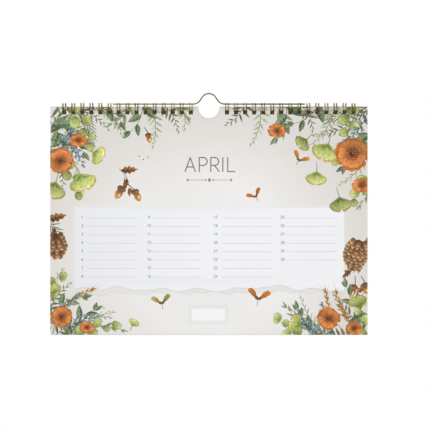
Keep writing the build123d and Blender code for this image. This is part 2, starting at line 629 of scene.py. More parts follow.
@dataclass
class PunchedSheet:
    """Sheet with a row of square holes on each side of a thumb notch.

    Places on the sheet are in millimetres: x from the middle, z down from the top edge as
    a negative number.
    """

    width: float = 297.0
    height: float = 213.0
    thickness: float = 0.15
    hole_side: float = 4.0
    hole_corner: float = 0.35
    hole_margin: float = 3.0
    holes_each_side: int = 15
    notch_radius: float = 9.7
    notch_depth: float = 11.0
    notch_steps: int = 40

    def outline(self) -> list[Point]:
        """Give the sheet's edge, with the notch in the middle of its top."""
        half = self.width / 2
        centre = self.notch_radius - self.notch_depth
        lean = math.asin(-centre / self.notch_radius)
        points = [(-half, 0.0), (-half, -self.height), (half, -self.height), (half, 0.0)]
        for step in range(self.notch_steps + 1):
            angle = math.pi - lean + (math.pi + 2 * lean) * (1 - step / self.notch_steps)
            x = self.notch_radius * math.cos(angle)
            points.append((x, min(0.0, centre + self.notch_radius * math.sin(angle))))
        return points

    def holes(self) -> list[list[Point]]:
        """Give the outlines of the punched holes, with their small corners."""
        half = self.hole_side / 2
        inner = half - self.hole_corner
        ring = [(half, -inner), (half, inner), (inner, half), (-inner, half)]
        ring += [(-half, inner), (-half, -inner), (-inner, -half), (inner, -half)]
        middle = -self.hole_margin - half
        places = [FIRST_HOLE + step * HOLE_PITCH for step in range(self.holes_each_side)]
        return [[(side * place + x, middle + z) for x, z in ring] for place in places for side in (-1, 1)]

    def flatten(self, inks: list[Ink]) -> tuple[list[Point], list[tuple[int, ...]], list[list[Ink]]]:
        """Cut the sheet and all its inks into triangles that don't overlap.

        Args:
            inks: The printed shapes, the lowest first.

        Returns:
            The corners, the triangles, and for each triangle its inks.
        """
        voids = self.holes()
        printed = [ink for ink in inks if self.touches(ink.outline)]
        points: list[Vector] = []
        edges: list[tuple[int, int]] = []
        for outline in [self.outline()] + voids + [ink.outline for ink in printed]:
            first = len(points)
            points += [Vector(point) for point in outline]
            edges += [(first + a, first + (a + 1) % len(outline)) for a in range(len(outline))]
        out = delaunay_2d_cdt(points, edges, [], 0, 1e-5)
        corners = np.array([tuple(point) for point in out[0]])
        triangles = np.array([tuple(triangle) for triangle in out[2]])
        middles = corners[triangles].mean(axis=1)
        kept = covers(self.outline(), middles)
        for hole in voids:
            kept &= ~covers(hole, middles)
        triangles, middles = triangles[kept], middles[kept]
        layers: list[list[Ink]] = [[] for _ in triangles]
        for ink in printed:
            for number in np.flatnonzero(covers(ink.outline, middles)):
                layers[number].append(ink)
        return [tuple(point) for point in corners.tolist()], [tuple(t) for t in triangles.tolist()], layers

    def touches(self, outline: list[Point]) -> bool:
        """Tell whether a shape reaches the sheet.

        Args:
            outline: Corners of the shape.

        Returns:
            True where their boxes overlap.
        """
        xs, zs = zip(*outline)
        half = self.width / 2
        return min(xs) < half and max(xs) > -half and min(zs) < 0 and max(zs) > -self.height

    @staticmethod
    def back_faces(corners: list[Point], rim: dict[int, int]) -> list[tuple[int, ...]]:
        """Fill the sheet's back between its edge and its holes.

        Args:
            corners: Corners of the printed face.
            rim: For each corner on an edge, the next one along that edge.

        Returns:
            Triangles between the corners of the edges, seen from the front.
        """
        left = dict(rim)
        loops = []
        while left:
            loop = [next(iter(left))]
            while left[loop[-1]] != loop[0]:
                loop.append(left.pop(loop[-1]))
            left.pop(loop[-1])
            loops.append(loop)
        order = [index for loop in loops for index in loop]
        place = {index: number for number, index in enumerate(order)}
        areas = [area([corners[index] for index in loop]) for loop in loops]
        shapes = [[place[index] for index in loop] for loop in loops]
        shapes = [shape if size > 0 else shape[::-1] for shape, size in zip(shapes, areas)]
        outer = areas.index(max(areas))
        out = delaunay_2d_cdt([Vector(corners[index]) for index in order], [], shapes, 1, 1e-5)
        source = [order[origins[0]] for origins in out[3]]
        faces = zip(out[2], out[5])
        return [tuple(source[index] for index in face) for face, owners in faces if set(owners) == {outer}]

    def build(self, name: str, front: float, top: float, inks: list[Ink]) -> bpy.types.Mesh:
        """Make the sheet as a closed solid, with its print in a colour attribute.

        Args:
            name: Name of the piece.
            front: Place of the printed face along Y, in metres.
            top: Height of the top edge, in metres.
            inks: The printed shapes, the lowest first.

        Returns:
            The finished sheet.
        """
        corners, faces, shown = self.flatten(inks)
        count = len(corners)
        points = []
        for y in (front, front + self.thickness * MM):
            points += [(x * MM, y, top + z * MM) for x, z in corners]
        edges = {pair for face in faces for pair in zip(face, face[1:] + face[:1])}
        rim = {a: b for a, b in edges if (b, a) not in edges}
        walls = [(b, a, a + count, b + count) for a, b in sorted(rim.items())]
        backs = [tuple(index + count for index in reversed(face)) for face in self.back_faces(corners, rim)]
        mesh = bpy.data.meshes.new(name)
        mesh.from_pydata(points, [], faces + backs + walls)
        colours = np.zeros((len(mesh.loops), 4), np.float32)
        for number, (face, inside) in enumerate(zip(faces, shown)):
            for corner, vertex in enumerate(face):
                colours[number * 3 + corner] = blended(inside, corners[vertex])
        attribute = mesh.attributes.new("ink", "FLOAT_COLOR", "CORNER")
        attribute.data.foreach_set("color", colours.ravel())
        tidy = bmesh.new()
        tidy.from_mesh(mesh)
        bmesh.ops.delete(tidy, geom=[v for v in tidy.verts if not v.link_faces], context="VERTS")
        tidy.to_mesh(mesh)
        tidy.free()
        return mesh


def blended(inks: list[Ink], point: Point) -> Rgba:
    """Lay inks over each other at a point and give their common colour and cover.

    Args:
        inks: The inks that lie there, the lowest first.
        point: A point of the page.

    Returns:
        The linear colour, with the cover as its last number.
    """
    colour = (0.0, 0.0, 0.0)
    cover = 0.0
    for ink in inks:
        *tone, share = ink.at(*point)
        total = share + cover * (1 - share)
        if total > 0:
            kept = cover * (1 - share) / total
            colour = tuple(new * (1 - kept) + old * kept for new, old in zip(tone, colour))
        cover = total
    return (*colour, cover)


def covers(outline: list[Point], spots: np.ndarray) -> np.ndarray:
    """Tell which spots lie inside an outline.

    Args:
        outline: Corners of the shape, in either direction.
        spots: One row of two numbers for each spot.

    Returns:
        True or False for each spot.
    """
    shape = np.array(outline)
    low, high = shape.min(axis=0), shape.max(axis=0)
    near = np.flatnonzero(((spots >= low) & (spots <= high)).all(axis=1))
    x, z = spots[near].T
    odd = np.zeros(len(near), bool)
    for (ax, az), (bx, bz) in zip(shape, np.roll(shape, -1, axis=0)):
        if az != bz:
            odd ^= ((az > z) != (bz > z)) & (x < ax + (z - az) * (bx - ax) / (bz - az))
    inside = np.zeros(len(spots), bool)
    inside[near[odd]] = True
    return inside


def area(shape: list[Point]) -> float:
    """Give a shape's area, below 0 where its corners run clockwise."""
    return sum(a[0] * b[1] - b[0] * a[1] for a, b in zip(shape, shape[1:] + shape[:1])) / 2


def stack(
    node: str, count: int, body: str, plain: bpy.types.Material, gap: float = 0.0,
    inks: list[Ink] | None = None, printed: bpy.types.Material | None = None,
) -> list[bpy.types.Object]:
    """Fill the space of a block of leaves with single punched sheets.

    Args:
        node: The solid that the sheets stand for.
        count: Number of sheets.
        body: The body that they ride on.
        plain: Their finish.
        gap: Air between sheets, in millimetres.
        inks: Print on the first sheet.
        printed: Finish of the first sheet, where it has print.

    Returns:
        The sheets, from front to back.
    """
    low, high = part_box(node)
    share = (high.y - low.y) / MM / count
    sheets = []
    for number in range(count):
        here = inks if inks and number == 0 else []
        name = f"{node}_{number + 1}"
        mesh = PunchedSheet(thickness=share - gap).build(name, low.y + number * share * MM, high.z, here)
        mesh.materials.append(printed if here else plain)
        sheets.append(dress(name, mesh, node, body))
    return sheets


# Parts of the plants


@dataclass(frozen=True)
class Part:
    """One repeated part of a motif: flat shapes that run along x from 0 to about 1.

    Each shape has the colour at its start and the colour at its end.
    """

    shapes: tuple[Shape, ...]
    tones: tuple[tuple[Colour, Colour], ...]

    def mesh(self) -> bpy.types.Mesh:
        """Give the part's shapes as the faces of a flat mesh."""
        mesh = bpy.data.meshes.new("part")
        points = [(x, y, 0.0) for shape in self.shapes for x, y in shape]
        faces = []
        first = 0
        for shape in self.shapes:
            faces.append(tuple(range(first, first + len(shape))))
            first += len(shape)
        mesh.from_pydata(points, [], faces)
        return mesh

    def inks(self, mesh: bpy.types.Mesh, origin: Point, dice: random.Random) -> list[Ink]:
        """Turn the repeated shapes of a finished mesh into inks.

        Args:
            mesh: Copies of the part, one after another.
            origin: Where the mesh's middle goes on the page.
            dice: Source of the small differences in tone between copies.

        Returns:
            The inks, the lowest first.
        """
        inks = []
        depth = 1.0
        for number, face in enumerate(mesh.polygons):
            which = number % len(self.shapes)
            if which == 0:
                depth = dice.uniform(0.86, 1.1)
            corners = [mesh.vertices[vertex].co for vertex in face.vertices]
            outline = [(corner.x + origin[0], corner.y + origin[1]) for corner in corners]
            along = [x for x, _ in self.shapes[which]]
            start, end = (outline[along.index(limit)] for limit in (min(along), max(along)))
            near, far = (tuple(min(255.0, c * depth) for c in tone) for tone in self.tones[which])
            inks.append(Ink(outline, near, far, start, end))
        return inks


def beyond(spot: Point, turn: float, distance: float) -> Point:
    """Give the point at a distance from a spot, in a direction in radians."""
    return (spot[0] + distance * math.cos(turn), spot[1] + distance * math.sin(turn))


def mirrored(side: tuple[Point, ...] | list[Point], shift: float = 0.0) -> Shape:
    """Give the other side of a part, from its tip back to its base."""
    return tuple((x - shift, -y) for x, y in reversed(side))


def veined(shapes: tuple, tones: tuple, veins: list[Shape], vein: Colour) -> Part:
    """Make a part whose last shapes are veins of one colour."""
    return Part((*shapes, *veins), (*tones, *((vein, vein) for _ in veins)))


def leaf(
    light: Colour, dark: Colour, rib: Colour, fullness: float = 0.8, points: int = 6, waves: int = 0,
    veins: int = 0,
) -> Part:
    """Draw a leaf with a lit half, a shaded half and a rib.

    Args:
        light: Colour of the lit half's tip.
        dark: Colour of the shaded half's base.
        rib: Colour of the rib and the veins.
        fullness: Below 1, the leaf is widest near its base.
        points: Corners along each edge.
        waves: Lobes along each edge, or 0 for a smooth edge.
        veins: Pairs of side veins.

    Returns:
        The leaf, one long and one wide.
    """
    edge = []
    for step in range(1, points + 1):
        run = step / (points + 1)
        width = 0.5 * math.sin(math.pi * run**fullness) ** 0.9
        if waves:
            width *= 0.78 + 0.22 * math.cos(2 * math.pi * waves * run)
        edge.append((run, width))
    halves = (((0.0, 0.0), *edge, (1.0, 0.0)), ((1.0, 0.0), *mirrored(edge), (0.0, 0.0)))
    middle = tuple((a + b) / 2 for a, b in zip(light, dark))
    ribs = [((0.0, 0.035), (0.97, 0.0), (0.0, -0.035))]
    for pair in range(veins):
        base = 0.12 + 0.7 * pair / veins
        reach = 0.38 * math.sin(math.pi * (base + 0.1) ** fullness)
        ribs += [((base, 0.0), (base + 0.05, 0.0), (base + 0.17, side * reach)) for side in (-1, 1)]
    return veined(halves, ((middle, light), (dark, middle)), ribs, rib)


def petal(base: Colour, tip: Colour, fold: Colour) -> Part:
    """Draw a broad petal with a shaded base and three folds.

    Args:
        base: Colour of the base.
        tip: Colour of the tip.
        fold: Colour of the folds.

    Returns:
        The petal, one long.
    """
    right = ((0.35, 0.25), (0.65, 0.44), (0.88, 0.48), (1.0, 0.28))
    outline = ((0.05, 0.07), *right, (0.95, 0.04), *mirrored(right, 0.02), (0.05, -0.07))
    folds = [((0.12, -0.02), (0.12, 0.02), (0.82, lean)) for lean in (0.26, 0.02, -0.24)]
    return veined((outline,), ((base, tip),), folds, fold)


def disc(colour: Colour, rim: Colour, shine: Colour, sides: int = 10) -> Part:
    """Draw a berry or a round eye with a highlight.

    Args:
        colour: Colour of the lit side.
        rim: Colour of the shaded side.
        shine: Colour of the highlight.
        sides: Number of corners.

    Returns:
        The disc, one across.
    """
    turns = [2 * math.pi * step / sides for step in range(sides)]
    outline = tuple((0.5 + 0.5 * math.cos(a), 0.5 * math.sin(a)) for a in turns)
    light = tuple((0.62 + 0.17 * math.cos(a), 0.16 + 0.13 * math.sin(a)) for a in turns[::2])
    return Part((outline, light), ((rim, colour), (shine, shine)))


def round_leaf(light: Colour, dark: Colour, vein: Colour) -> Part:
    """Draw a coin-shaped leaf with a darker rim and veins that fan out.

    Args:
        light: Colour of the tip.
        dark: Colour of the base and the rim.
        vein: Colour of the veins.

    Returns:
        The leaf, one long.
    """
    turns = [math.radians(angle) for angle in range(15, 360, 30)]
    outline, inner = (
        tuple((middle + radius * math.cos(a), radius * math.sin(a)) for a in turns)
        for middle, radius in ((0.5, 0.5), (0.51, 0.43))
    )
    veins = []
    for lean in range(-66, 67, 22):
        reach = math.radians(lean)
        tip = (0.04 + 0.84 * math.cos(reach) ** 2, 0.84 * math.sin(reach) * math.cos(reach))
        veins.append(((0.03, -0.025), (0.03, 0.025), tip))
    return veined((outline, inner), ((dark, dark), (dark, light)), veins, vein)


def fan_leaf(base: Colour, rim: Colour, edge: Colour, vein: Colour) -> Part:
    """Draw a fan-shaped leaf with a cleft, a tinted edge and fine ribs.

    Args:
        base: Colour at the stalk.
        rim: Colour next to the edge.
        edge: Colour of the edge.
        vein: Colour of the ribs.

    Returns:
        The leaf, one long.
    """
    angles = [64, 56, 45, 34, 23, 12, 4, 0, -4, -12, -23, -34, -45, -56, -64]
    reaches = [0.8, 0.93, 0.98, 1.0, 0.97, 1.0, 0.93, 0.66, 0.93, 0.99, 0.97, 1.0, 0.97, 0.94, 0.78]
    outer = []
    inner = []
    for angle, reach in zip(angles, reaches):
        turn = math.radians(angle)
        outer.append((reach * math.cos(turn), reach * math.sin(turn)))
        inner.append((reach * 0.9 * math.cos(turn * 0.97), reach * 0.9 * math.sin(turn * 0.97)))
    ribs = []
    for angle in (-55, -42, -30, -18, -8, 8, 18, 30, 42, 55):
        turn = math.radians(angle)
        ribs.append(((0.08, 0.0), (0.2, 0.012 + 0.08 * turn), beyond((0.0, 0.0), turn, 0.84)))
    shapes = (((0.0, 0.02), *outer, (0.0, -0.02)), ((0.04, 0.0), *inner))
    return veined(shapes, ((base, edge), (base, rim)), ribs, vein)


def bell(base: Colour, mouth: Colour, shade: Colour) -> Part:
    """Draw a small bell-shaped flower.

    Args:
        base: Colour at the stalk.
        mouth: Colour of the open end.
        shade: Colour of the fold.

    Returns:
        The flower, one long.
    """
    side = ((0.25, 0.27), (0.6, 0.31), (0.84, 0.4), (1.0, 0.52), (0.9, 0.2))
    outline = ((0.0, 0.08), *side, (1.02, 0.0), *mirrored(side), (0.0, -0.08))
    return Part((outline, ((0.1, 0.0), (0.8, 0.16), (0.85, -0.02))), ((base, mouth), (shade, shade)))


def spikelet(base: Colour, tip: Colour, awn: Colour) -> Part:
    """Draw a grain of an ear of wheat, with its awn."""
    grain = ((0.0, 0.0), (0.25, 0.28), (0.6, 0.3), (1.0, 0.0), (0.6, -0.3), (0.25, -0.28))
    return Part((((0.7, 0.06), (2.1, 0.12), (0.7, -0.06)), grain), ((awn, awn), (base, tip)))


def cone_scale(base: Colour, tip: Colour, edge: Colour) -> Part:
    """Draw a scale of a cone, with its light tip.

    Args:
        base: Colour of the base.
        tip: Colour of the tip.
        edge: Colour of the light edge.

    Returns:
        The scale, one long.
    """
    side = ((0.45, 0.52), (0.8, 0.42), (1.0, 0.14))
    outline = ((0.0, 0.35), *side, *mirrored(side), (0.0, -0.35))
    light = ((0.72, 0.34), (1.0, 0.12), (1.0, -0.12), (0.72, -0.34), (0.84, 0.0))
    return Part((outline, light), ((base, tip), (edge, edge)))


def winged_seed(base: Colour, wing: Colour, nut: Colour, vein: Colour) -> Part:
    """Draw one half of a maple key.

    Args:
        base: Colour next to the seed.
        wing: Colour of the wing's end.
        nut: Colour of the seed.
        vein: Colour of the wing's veins.

    Returns:
        The half, one long, with its seed at 0.
    """
    outline = ((0.05, -0.02), (0.2, 0.1), (0.5, 0.3), (0.85, 0.33), (1.0, 0.12), (0.9, -0.04), (0.5, -0.08))
    ends = ((0.9, 0.04), (0.88, 0.16), (0.75, 0.25))
    veins = tuple(((0.2, 0.0), (0.24, 0.03), end) for end in ends)
    seed = ((0.0, 0.0), (0.06, 0.12), (0.22, 0.14), (0.3, 0.0), (0.2, -0.1), (0.06, -0.09))
    return Part((outline, *veins, seed), ((base, wing), *((vein, vein) for _ in veins), (nut, base)))


def stem_tree() -> ShapeTree:
    """Build the tree that sets copies of a part along a bent stem."""
    tree = ShapeTree("parts along a stem")
    kinds = ("ADD", "SUBTRACT", "MULTIPLY", "DIVIDE", "MAXIMUM", "FLOORED_MODULO", "ARCTAN2")
    add, less, times, over, most, rest, heading = (partial(tree.maths, kind) for kind in kinds)
    start, bend, end = tree.sizes("Start, Bend, End", "Vector")
    count, seed = tree.sizes("Count, Seed", "Int")
    bare, first_size, last_size, width = tree.sizes("Bare, First size, Last size, Width")
    lean, closing, jitter, both_sides = tree.sizes("Lean, Closing, Jitter, Both sides")
    line = {"Resolution": 24, "Start": start, "Middle": bend, "End": end}
    stem = tree.out("GeometryNodeCurveQuadraticBezier", line)
    leafy = tree.out("GeometryNodeTrimCurve", {"Curve": stem, 2: bare}, mode="FACTOR")
    places = tree.node("GeometryNodeCurveToPoints", {"Curve": leafy, "Count": count}, mode="COUNT")
    index = tree.out("GeometryNodeInputIndex")
    share = over(index, most(less(count, 1), 1))
    side = less(1, times(times(both_sides, rest(index, 2)), 2))
    tangent = tree.node("ShaderNodeSeparateXYZ", {0: places.outputs["Tangent"]}).outputs
    opened = times(lean, less(1, times(closing, share)))
    loose = tree.spread(seed)
    turn = add(heading(tangent["Y"], tangent["X"]), times(side, opened))
    turn = add(turn, times(loose, jitter))
    growth = times(share, less(last_size, first_size))
    size = times(add(first_size, growth), add(1, times(loose, 0.12)))
    scale = tree.vector(size, times(times(size, width), side), 1.0)
    tree.close(tree.copies(places.outputs[0], tree.vector(z=turn), scale))
    return tree


def ring_tree() -> ShapeTree:
    """Build the tree that sets copies of a part round a middle."""
    tree = ShapeTree("parts round a middle")
    kinds = ("ADD", "MULTIPLY", "DIVIDE", "COSINE", "SINE")
    add, times, over, cosine, sine = (partial(tree.maths, kind) for kind in kinds)
    count, seed = tree.sizes("Count, Seed", "Int")
    hollow, size, width, phase, jitter = tree.sizes("Hollow, Size, Width, Phase, Jitter")
    turn = times(over(tree.out("GeometryNodeInputIndex"), count), 2 * math.pi)
    spot = tree.vector(times(hollow, cosine(turn)), times(hollow, sine(turn)))
    ring = tree.out("GeometryNodePoints", {"Count": count, "Position": spot})
    loose = tree.spread(seed)
    swing = add(turn, times(loose, jitter))
    length = times(size, add(1, times(loose, 0.08)))
    copies = tree.copies(ring, tree.vector(z=swing), tree.vector(length, times(size, width), 1.0))
    spin = {"Geometry": copies, "Rotation": tree.vector(z=phase)}
    tree.close(tree.out("GeometryNodeTransform", spin))
    return tree


def ribbon(line: list[Point], start_width: float, end_width: float) -> list[Point]:
    """Give the outline of a stroke that follows a line and may taper.

    Args:
        line: Points along the middle of the stroke.
        start_width: Width at its start.
        end_width: Width at its end.

    Returns:
        Corners of the stroke's outline.
    """
    left = []
    right = []
    for number, (x, z) in enumerate(line):
        before = line[max(0, number - 1)]
        after = line[min(len(line) - 1, number + 1)]
        run = (after[0] - before[0], after[1] - before[1])
        length = math.hypot(*run)
        half = (start_width + (end_width - start_width) * number / (len(line) - 1)) / 2
        left.append((x - run[1] / length * half, z + run[0] / length * half))
        right.append((x + run[1] / length * half, z - run[0] / length * half))
    return left + right[::-1]


def arc(middle: Point, radius: Point, first: float, last: float, steps: int = 6) -> list[Point]:
    """Give points along part of an ellipse, with angles in degrees."""
    turns = [math.radians(first + (last - first) * step / steps) for step in range(steps + 1)]
    return [(middle[0] + radius[0] * math.cos(a), middle[1] + radius[1] * math.sin(a)) for a in turns]


# Border


@dataclass(frozen=True)
class Habit:
    """How the parts of a plant sit on its stem. Sizes are in millimetres, leans in degrees."""

    part: Part
    spacing: float
    size: float
    width: float
    lean: float
    taper: float = 0.4
    closing: float = 0.35
    jitter: float = 8.0
    stem: Colour = (96, 104, 62)
    stem_width: float = 0.8
    bare: float = 0.1


class Plant(Enum):
    """Kinds of leafy or flowering stem in the border, each with its habit."""

    WILLOW = Habit(leaf((184, 194, 158), (118, 132, 100), (146, 156, 122)), 4.2, 15.0, 0.27, 42.0)
    LAUREL = Habit(
        leaf((142, 160, 118), (66, 88, 66), (164, 178, 140), veins=3, points=7), 6.5, 19.0, 0.42, 48.0
    )
    FERN = Habit(
        leaf((132, 142, 104), (82, 92, 64), (88, 98, 68), points=4), 2.3, 12.0, 0.24, 62.0, taper=0.22
    )
    PALE_FERN = Habit(
        leaf((206, 212, 182), (172, 182, 142), (158, 170, 126), points=4), 2.6, 12.0, 0.24, 52.0, taper=0.3
    )
    COIN_LEAF = Habit(
        round_leaf((216, 222, 148), (142, 158, 88), (108, 126, 64)), 6.0, 12.0, 0.92, 64.0, taper=0.55
    )
    BLUEBELL = Habit(
        bell((46, 58, 88), (142, 166, 180), (192, 206, 208)), 2.4, 6.4, 0.8, 70.0, taper=0.45,
        jitter=22.0, stem=(84, 104, 74), bare=0.25,
    )
    WHEAT = Habit(
        spikelet((142, 92, 48), (222, 180, 108), (206, 170, 110)), 2.3, 7.6, 0.5, 26.0, taper=0.7,
        closing=0.2, jitter=4.0, stem=(170, 140, 84), bare=0.4,
    )
    OAK = Habit(
        leaf((188, 138, 76), (104, 62, 34), (92, 56, 32), waves=4, points=17, veins=3), 9.0, 21.0, 0.5, 44.0,
        stem=(88, 62, 40),
    )
    PINE = Habit(
        leaf((88, 104, 62), (52, 62, 38), (52, 62, 38), points=2), 1.5, 13.0, 0.09, 40.0, taper=0.6,
        jitter=7.0, stem=(94, 72, 46), stem_width=1.3,
    )


@dataclass
class Border:
    """Painter of the plants round the page. It keeps the inks in the order of painting.

    Places are in millimetres from the middle of the page and from its top edge, with z
    below 0. Angles are in degrees from the right, and turns in radians.
    """

    seed: int = 4
    bow: float = 0.24
    inks: list[Ink] = field(default_factory=list)

    def __post_init__(self) -> None:
        """Prepare the dice and the trees."""
        self.dice = random.Random(self.seed)
        self.stems = stem_tree()
        self.rings = ring_tree()

    def row(self, part: Part, start: Point, bend: Point, end: Point, **sizes: float) -> None:
        """Paint copies of a part along a bent line."""
        ends = {"Start": (*start, 0.0), "Bend": (*bend, 0.0), "End": (*end, 0.0)}
        self.inks += part.inks(self.stems.run(part.mesh(), **ends, **sizes), (0.0, 0.0), self.dice)

    def spray(
        self, plant: Plant, x: float, z: float, angle: float, length: float, scale: float = 1.0
    ) -> None:
        """Paint a stem with its leaves or bells.

        Args:
            plant: The kind of plant.
            x: Start of the stem, across the page.
            z: Start of the stem, below the top edge.
            angle: Heading of the stem.
            length: Length of the stem.
            scale: Size of the parts against the plant's usual size.
        """
        habit = plant.value
        turn = math.radians(angle)
        end = beyond((x, z), turn, length)
        bow = self.bow * length
        bend = ((x + end[0]) / 2 - bow * math.sin(turn), (z + end[1]) / 2 + bow * math.cos(turn))
        line = []
        for t in (step / 8 for step in range(9)):
            near, middle, far = (1 - t) ** 2, 2 * t * (1 - t), t**2
            line.append(tuple(near * a + middle * b + far * c for a, b, c in zip((x, z), bend, end)))
        self.inks.append(Ink(ribbon(line, habit.stem_width * scale, 0.3), habit.stem))
        size = habit.size * scale
        self.row(
            habit.part, (x, z), bend, end,
            Count=max(2, round(length * (1 - habit.bare) / (habit.spacing * scale))), Bare=habit.bare,
            First_size=size, Last_size=size * habit.taper, Width=habit.width, Lean=math.radians(habit.lean),
            Closing=habit.closing, Jitter=math.radians(habit.jitter), Both_sides=1.0,
            Seed=self.dice.randrange(1000),
        )
        heading = math.atan2(end[1] - bend[1], end[0] - bend[0])
        self.place(habit.part, end, heading, size * habit.taper * 1.25, habit.width)

    def place(self, part: Part, spot: Point, turn: float, size: float, width: float = 1.0) -> None:
        """Paint one copy of a part, with its base at a spot.

        Args:
            part: The part.
            spot: Where its base goes.
            turn: Its heading.
            size: Its length.
            width: Its width against its length.
        """
        one = {"Count": 1, "Hollow": 0.0, "Jitter": 0.0, "Seed": 0}
        mesh = self.rings.run(part.mesh(), Size=size, Width=width, Phase=turn, **one)
        self.inks += part.inks(mesh, spot, self.dice)

    def ring(
        self, part: Part, spot: Point, count: int, hollow: float, size: float, width: float, phase: float,
        tilt: float = 1.0,
    ) -> None:
        """Paint copies of a part round a spot, flattened by a tilt.

        Args:
            part: The part.
            spot: Middle of the ring.
            count: Number of copies.
            hollow: Distance from the middle to their bases.
            size: Their length.
            width: Their width against their length.
            phase: Turn of the whole ring.
            tilt: Height of the ring against its breadth.
        """
        mesh = self.rings.run(
            part.mesh(), Count=count, Hollow=hollow, Size=size, Width=width, Phase=phase, Jitter=0.12,
            Seed=self.dice.randrange(1000),
        )
        for vertex in mesh.vertices:
            vertex.co.y *= tilt
        self.inks += part.inks(mesh, spot, self.dice)

    def stalk(self, spot: Point, turn: float, length: float, widths: Point, colour: Colour) -> None:
        """Paint a stalk that ends at a spot."""
        self.inks.append(Ink(ribbon([beyond(spot, turn, -length), spot], *widths), colour))

    def poppy(self, x: float, z: float, radius: float, petals: int = 6, tilt: float = 1.0) -> None:
        """Paint an open orange flower with a dark eye and a ring of stamens.

        Args:
            x: Place across the page.
            z: Place below the page's top edge, as a negative number.
            radius: Radius of the flower.
            petals: Number of petals in each ring.
            tilt: Height of the flower against its breadth.
        """
        phase = self.dice.uniform(0, 6)
        back = petal((158, 84, 44), (206, 124, 62), (146, 78, 42))
        front = petal((176, 92, 46), (222, 152, 88), (166, 92, 48))
        dot = disc((84, 52, 40), (60, 38, 32), (150, 110, 70), sides=6)
        width = 2 * math.pi / petals
        for part, count, hollow, size, wide, start in (
            (back, petals, 0.1, 0.9, width, phase),
            (front, petals, 0.1, 0.74, width, phase + width / 2),
            (dot, 14, 0.3, 0.09, 1.0, phase),
            (dot, 9, 0.18, 0.09, 1.0, phase),
        ):
            self.ring(part, (x, z), count, hollow * radius, size * radius, wide, start, tilt)
        eye = disc((112, 72, 62), (70, 44, 40), (158, 122, 86))
        self.place(eye, (x - 0.17 * radius, z), 0.0, 0.34 * radius)

    def fan(self, x: float, z: float, angle: float, size: float) -> None:
        """Paint one ginkgo leaf with its stalk.

        Args:
            x: Place across the page.
            z: Place below the page's top edge, as a negative number.
            angle: Heading, in degrees from the right.
            size: Length in millimetres.
        """
        turn = math.radians(angle)
        self.stalk((x, z), turn + 0.12, 0.7 * size, (0.4, 0.8), (128, 134, 70))
        part = fan_leaf((146, 162, 84), (222, 226, 146), (200, 172, 98), (112, 130, 62))
        self.place(part, (x, z), turn, size)

    def cone(self, x: float, z: float, angle: float, length: float) -> None:
        """Paint a cone whose rows of scales overlap towards its tip.

        Args:
            x: Middle of the cone's base, across the page.
            z: Height of the cone's base.
            angle: Heading of the cone's tip.
            length: Length of the cone.
        """
        turn = math.radians(angle)
        ahead = (math.cos(turn), math.sin(turn))
        across = (-ahead[1], ahead[0])
        rows = max(4, round(length / 3.6))
        part = cone_scale((92, 60, 40), (172, 126, 88), (216, 184, 146))
        body = disc((96, 64, 44), (84, 54, 36), (96, 64, 44), sides=16)
        self.place(body, (x, z), turn, length * 0.98, 0.58)
        for row in range(rows, -1, -1):
            share = row / rows
            half = 0.3 * length * math.sin(math.pi * (0.16 + 0.8 * share)) ** 0.8
            middle = (x + ahead[0] * length * 0.86 * share, z + ahead[1] * length * 0.86 * share)
            ends = [(middle[0] + s * half * across[0], middle[1] + s * half * across[1]) for s in (1, -1)]
            bow = (middle[0] + ahead[0] * 0.5 * half, middle[1] + ahead[1] * 0.5 * half)
            self.row(
                part, ends[0], bow, ends[1], Count=max(2, round(2 * half / 3.4) + row % 2), Bare=0.0,
                First_size=5.4, Last_size=5.4, Width=0.86, Lean=math.pi / 2, Closing=0.0, Jitter=0.06,
                Both_sides=0.0, Seed=row,
            )

    def acorn(self, x: float, z: float, angle: float, size: float) -> None:
        """Paint an acorn with a scaly cup and a stalk.

        Args:
            x: Place across the page.
            z: Place below the page's top edge, as a negative number.
            angle: Heading, in degrees from the right.
            size: Length in millimetres.
        """
        turn = math.radians(angle)
        self.stalk((x, z), turn + 0.4, 0.8 * size, (0.6, 0.9), (96, 66, 42))
        nut = disc((216, 160, 92), (104, 58, 32), (246, 212, 158), sides=14)
        forward = beyond((x, z), turn, 0.22 * size)
        self.place(nut, forward, turn, size * 0.95, 0.66)
        point = spikelet((120, 74, 40), (120, 74, 40), (120, 74, 40))
        self.place(point, beyond(forward, turn, 0.93 * size), turn, size * 0.1)
        cup = disc((150, 106, 70), (84, 52, 34), (178, 134, 92), sides=12)
        self.place(cup, (x - 0.02 * size, z), turn, size * 0.5, 1.6)
        knob = disc((186, 142, 100), (96, 62, 40), (214, 176, 132), sides=6)
        for lane in (-0.26, -0.09, 0.09, 0.26):
            for step in (0.08, 0.2, 0.32):
                right = x + size * (step * math.cos(turn) - lane * math.sin(turn))
                up = z + size * (step * math.sin(turn) + lane * math.cos(turn))
                self.place(knob, (right, up), turn, size * 0.11)

    def maple_key(self, x: float, z: float, angle: float, size: float, wing: Colour) -> None:
        """Paint a pair of winged seeds on one stalk.

        Args:
            x: Place across the page.
            z: Place below the page's top edge, as a negative number.
            angle: Heading, in degrees from the right.
            size: Length in millimetres.
            wing: Colour of the wings' ends.
        """
        base, vein = (tuple(channel * depth for channel in wing) for depth in (0.66, 0.8))
        part = winged_seed(base, wing, (112, 82, 46), vein)
        turn = math.radians(angle)
        self.stalk((x, z), turn, 0.5 * size, (0.3, 0.6), (120, 92, 54))
        self.place(part, (x, z), turn + 1.0, size, -1.0)
        self.place(part, (x, z), turn - 1.0, size)

    def seed_dot(self, x: float, z: float) -> None:
        """Paint one small loose seed."""
        self.place(disc((92, 98, 104), (70, 74, 82), (170, 178, 184), sides=6), (x, z), 0.0, 1.3)

    def paint(self) -> list[Ink]:
        """Paint the whole border and give its inks."""
        for motif, rows in LAYOUT:
            for row in rows:
                motif(self, *row)
        return self.inks


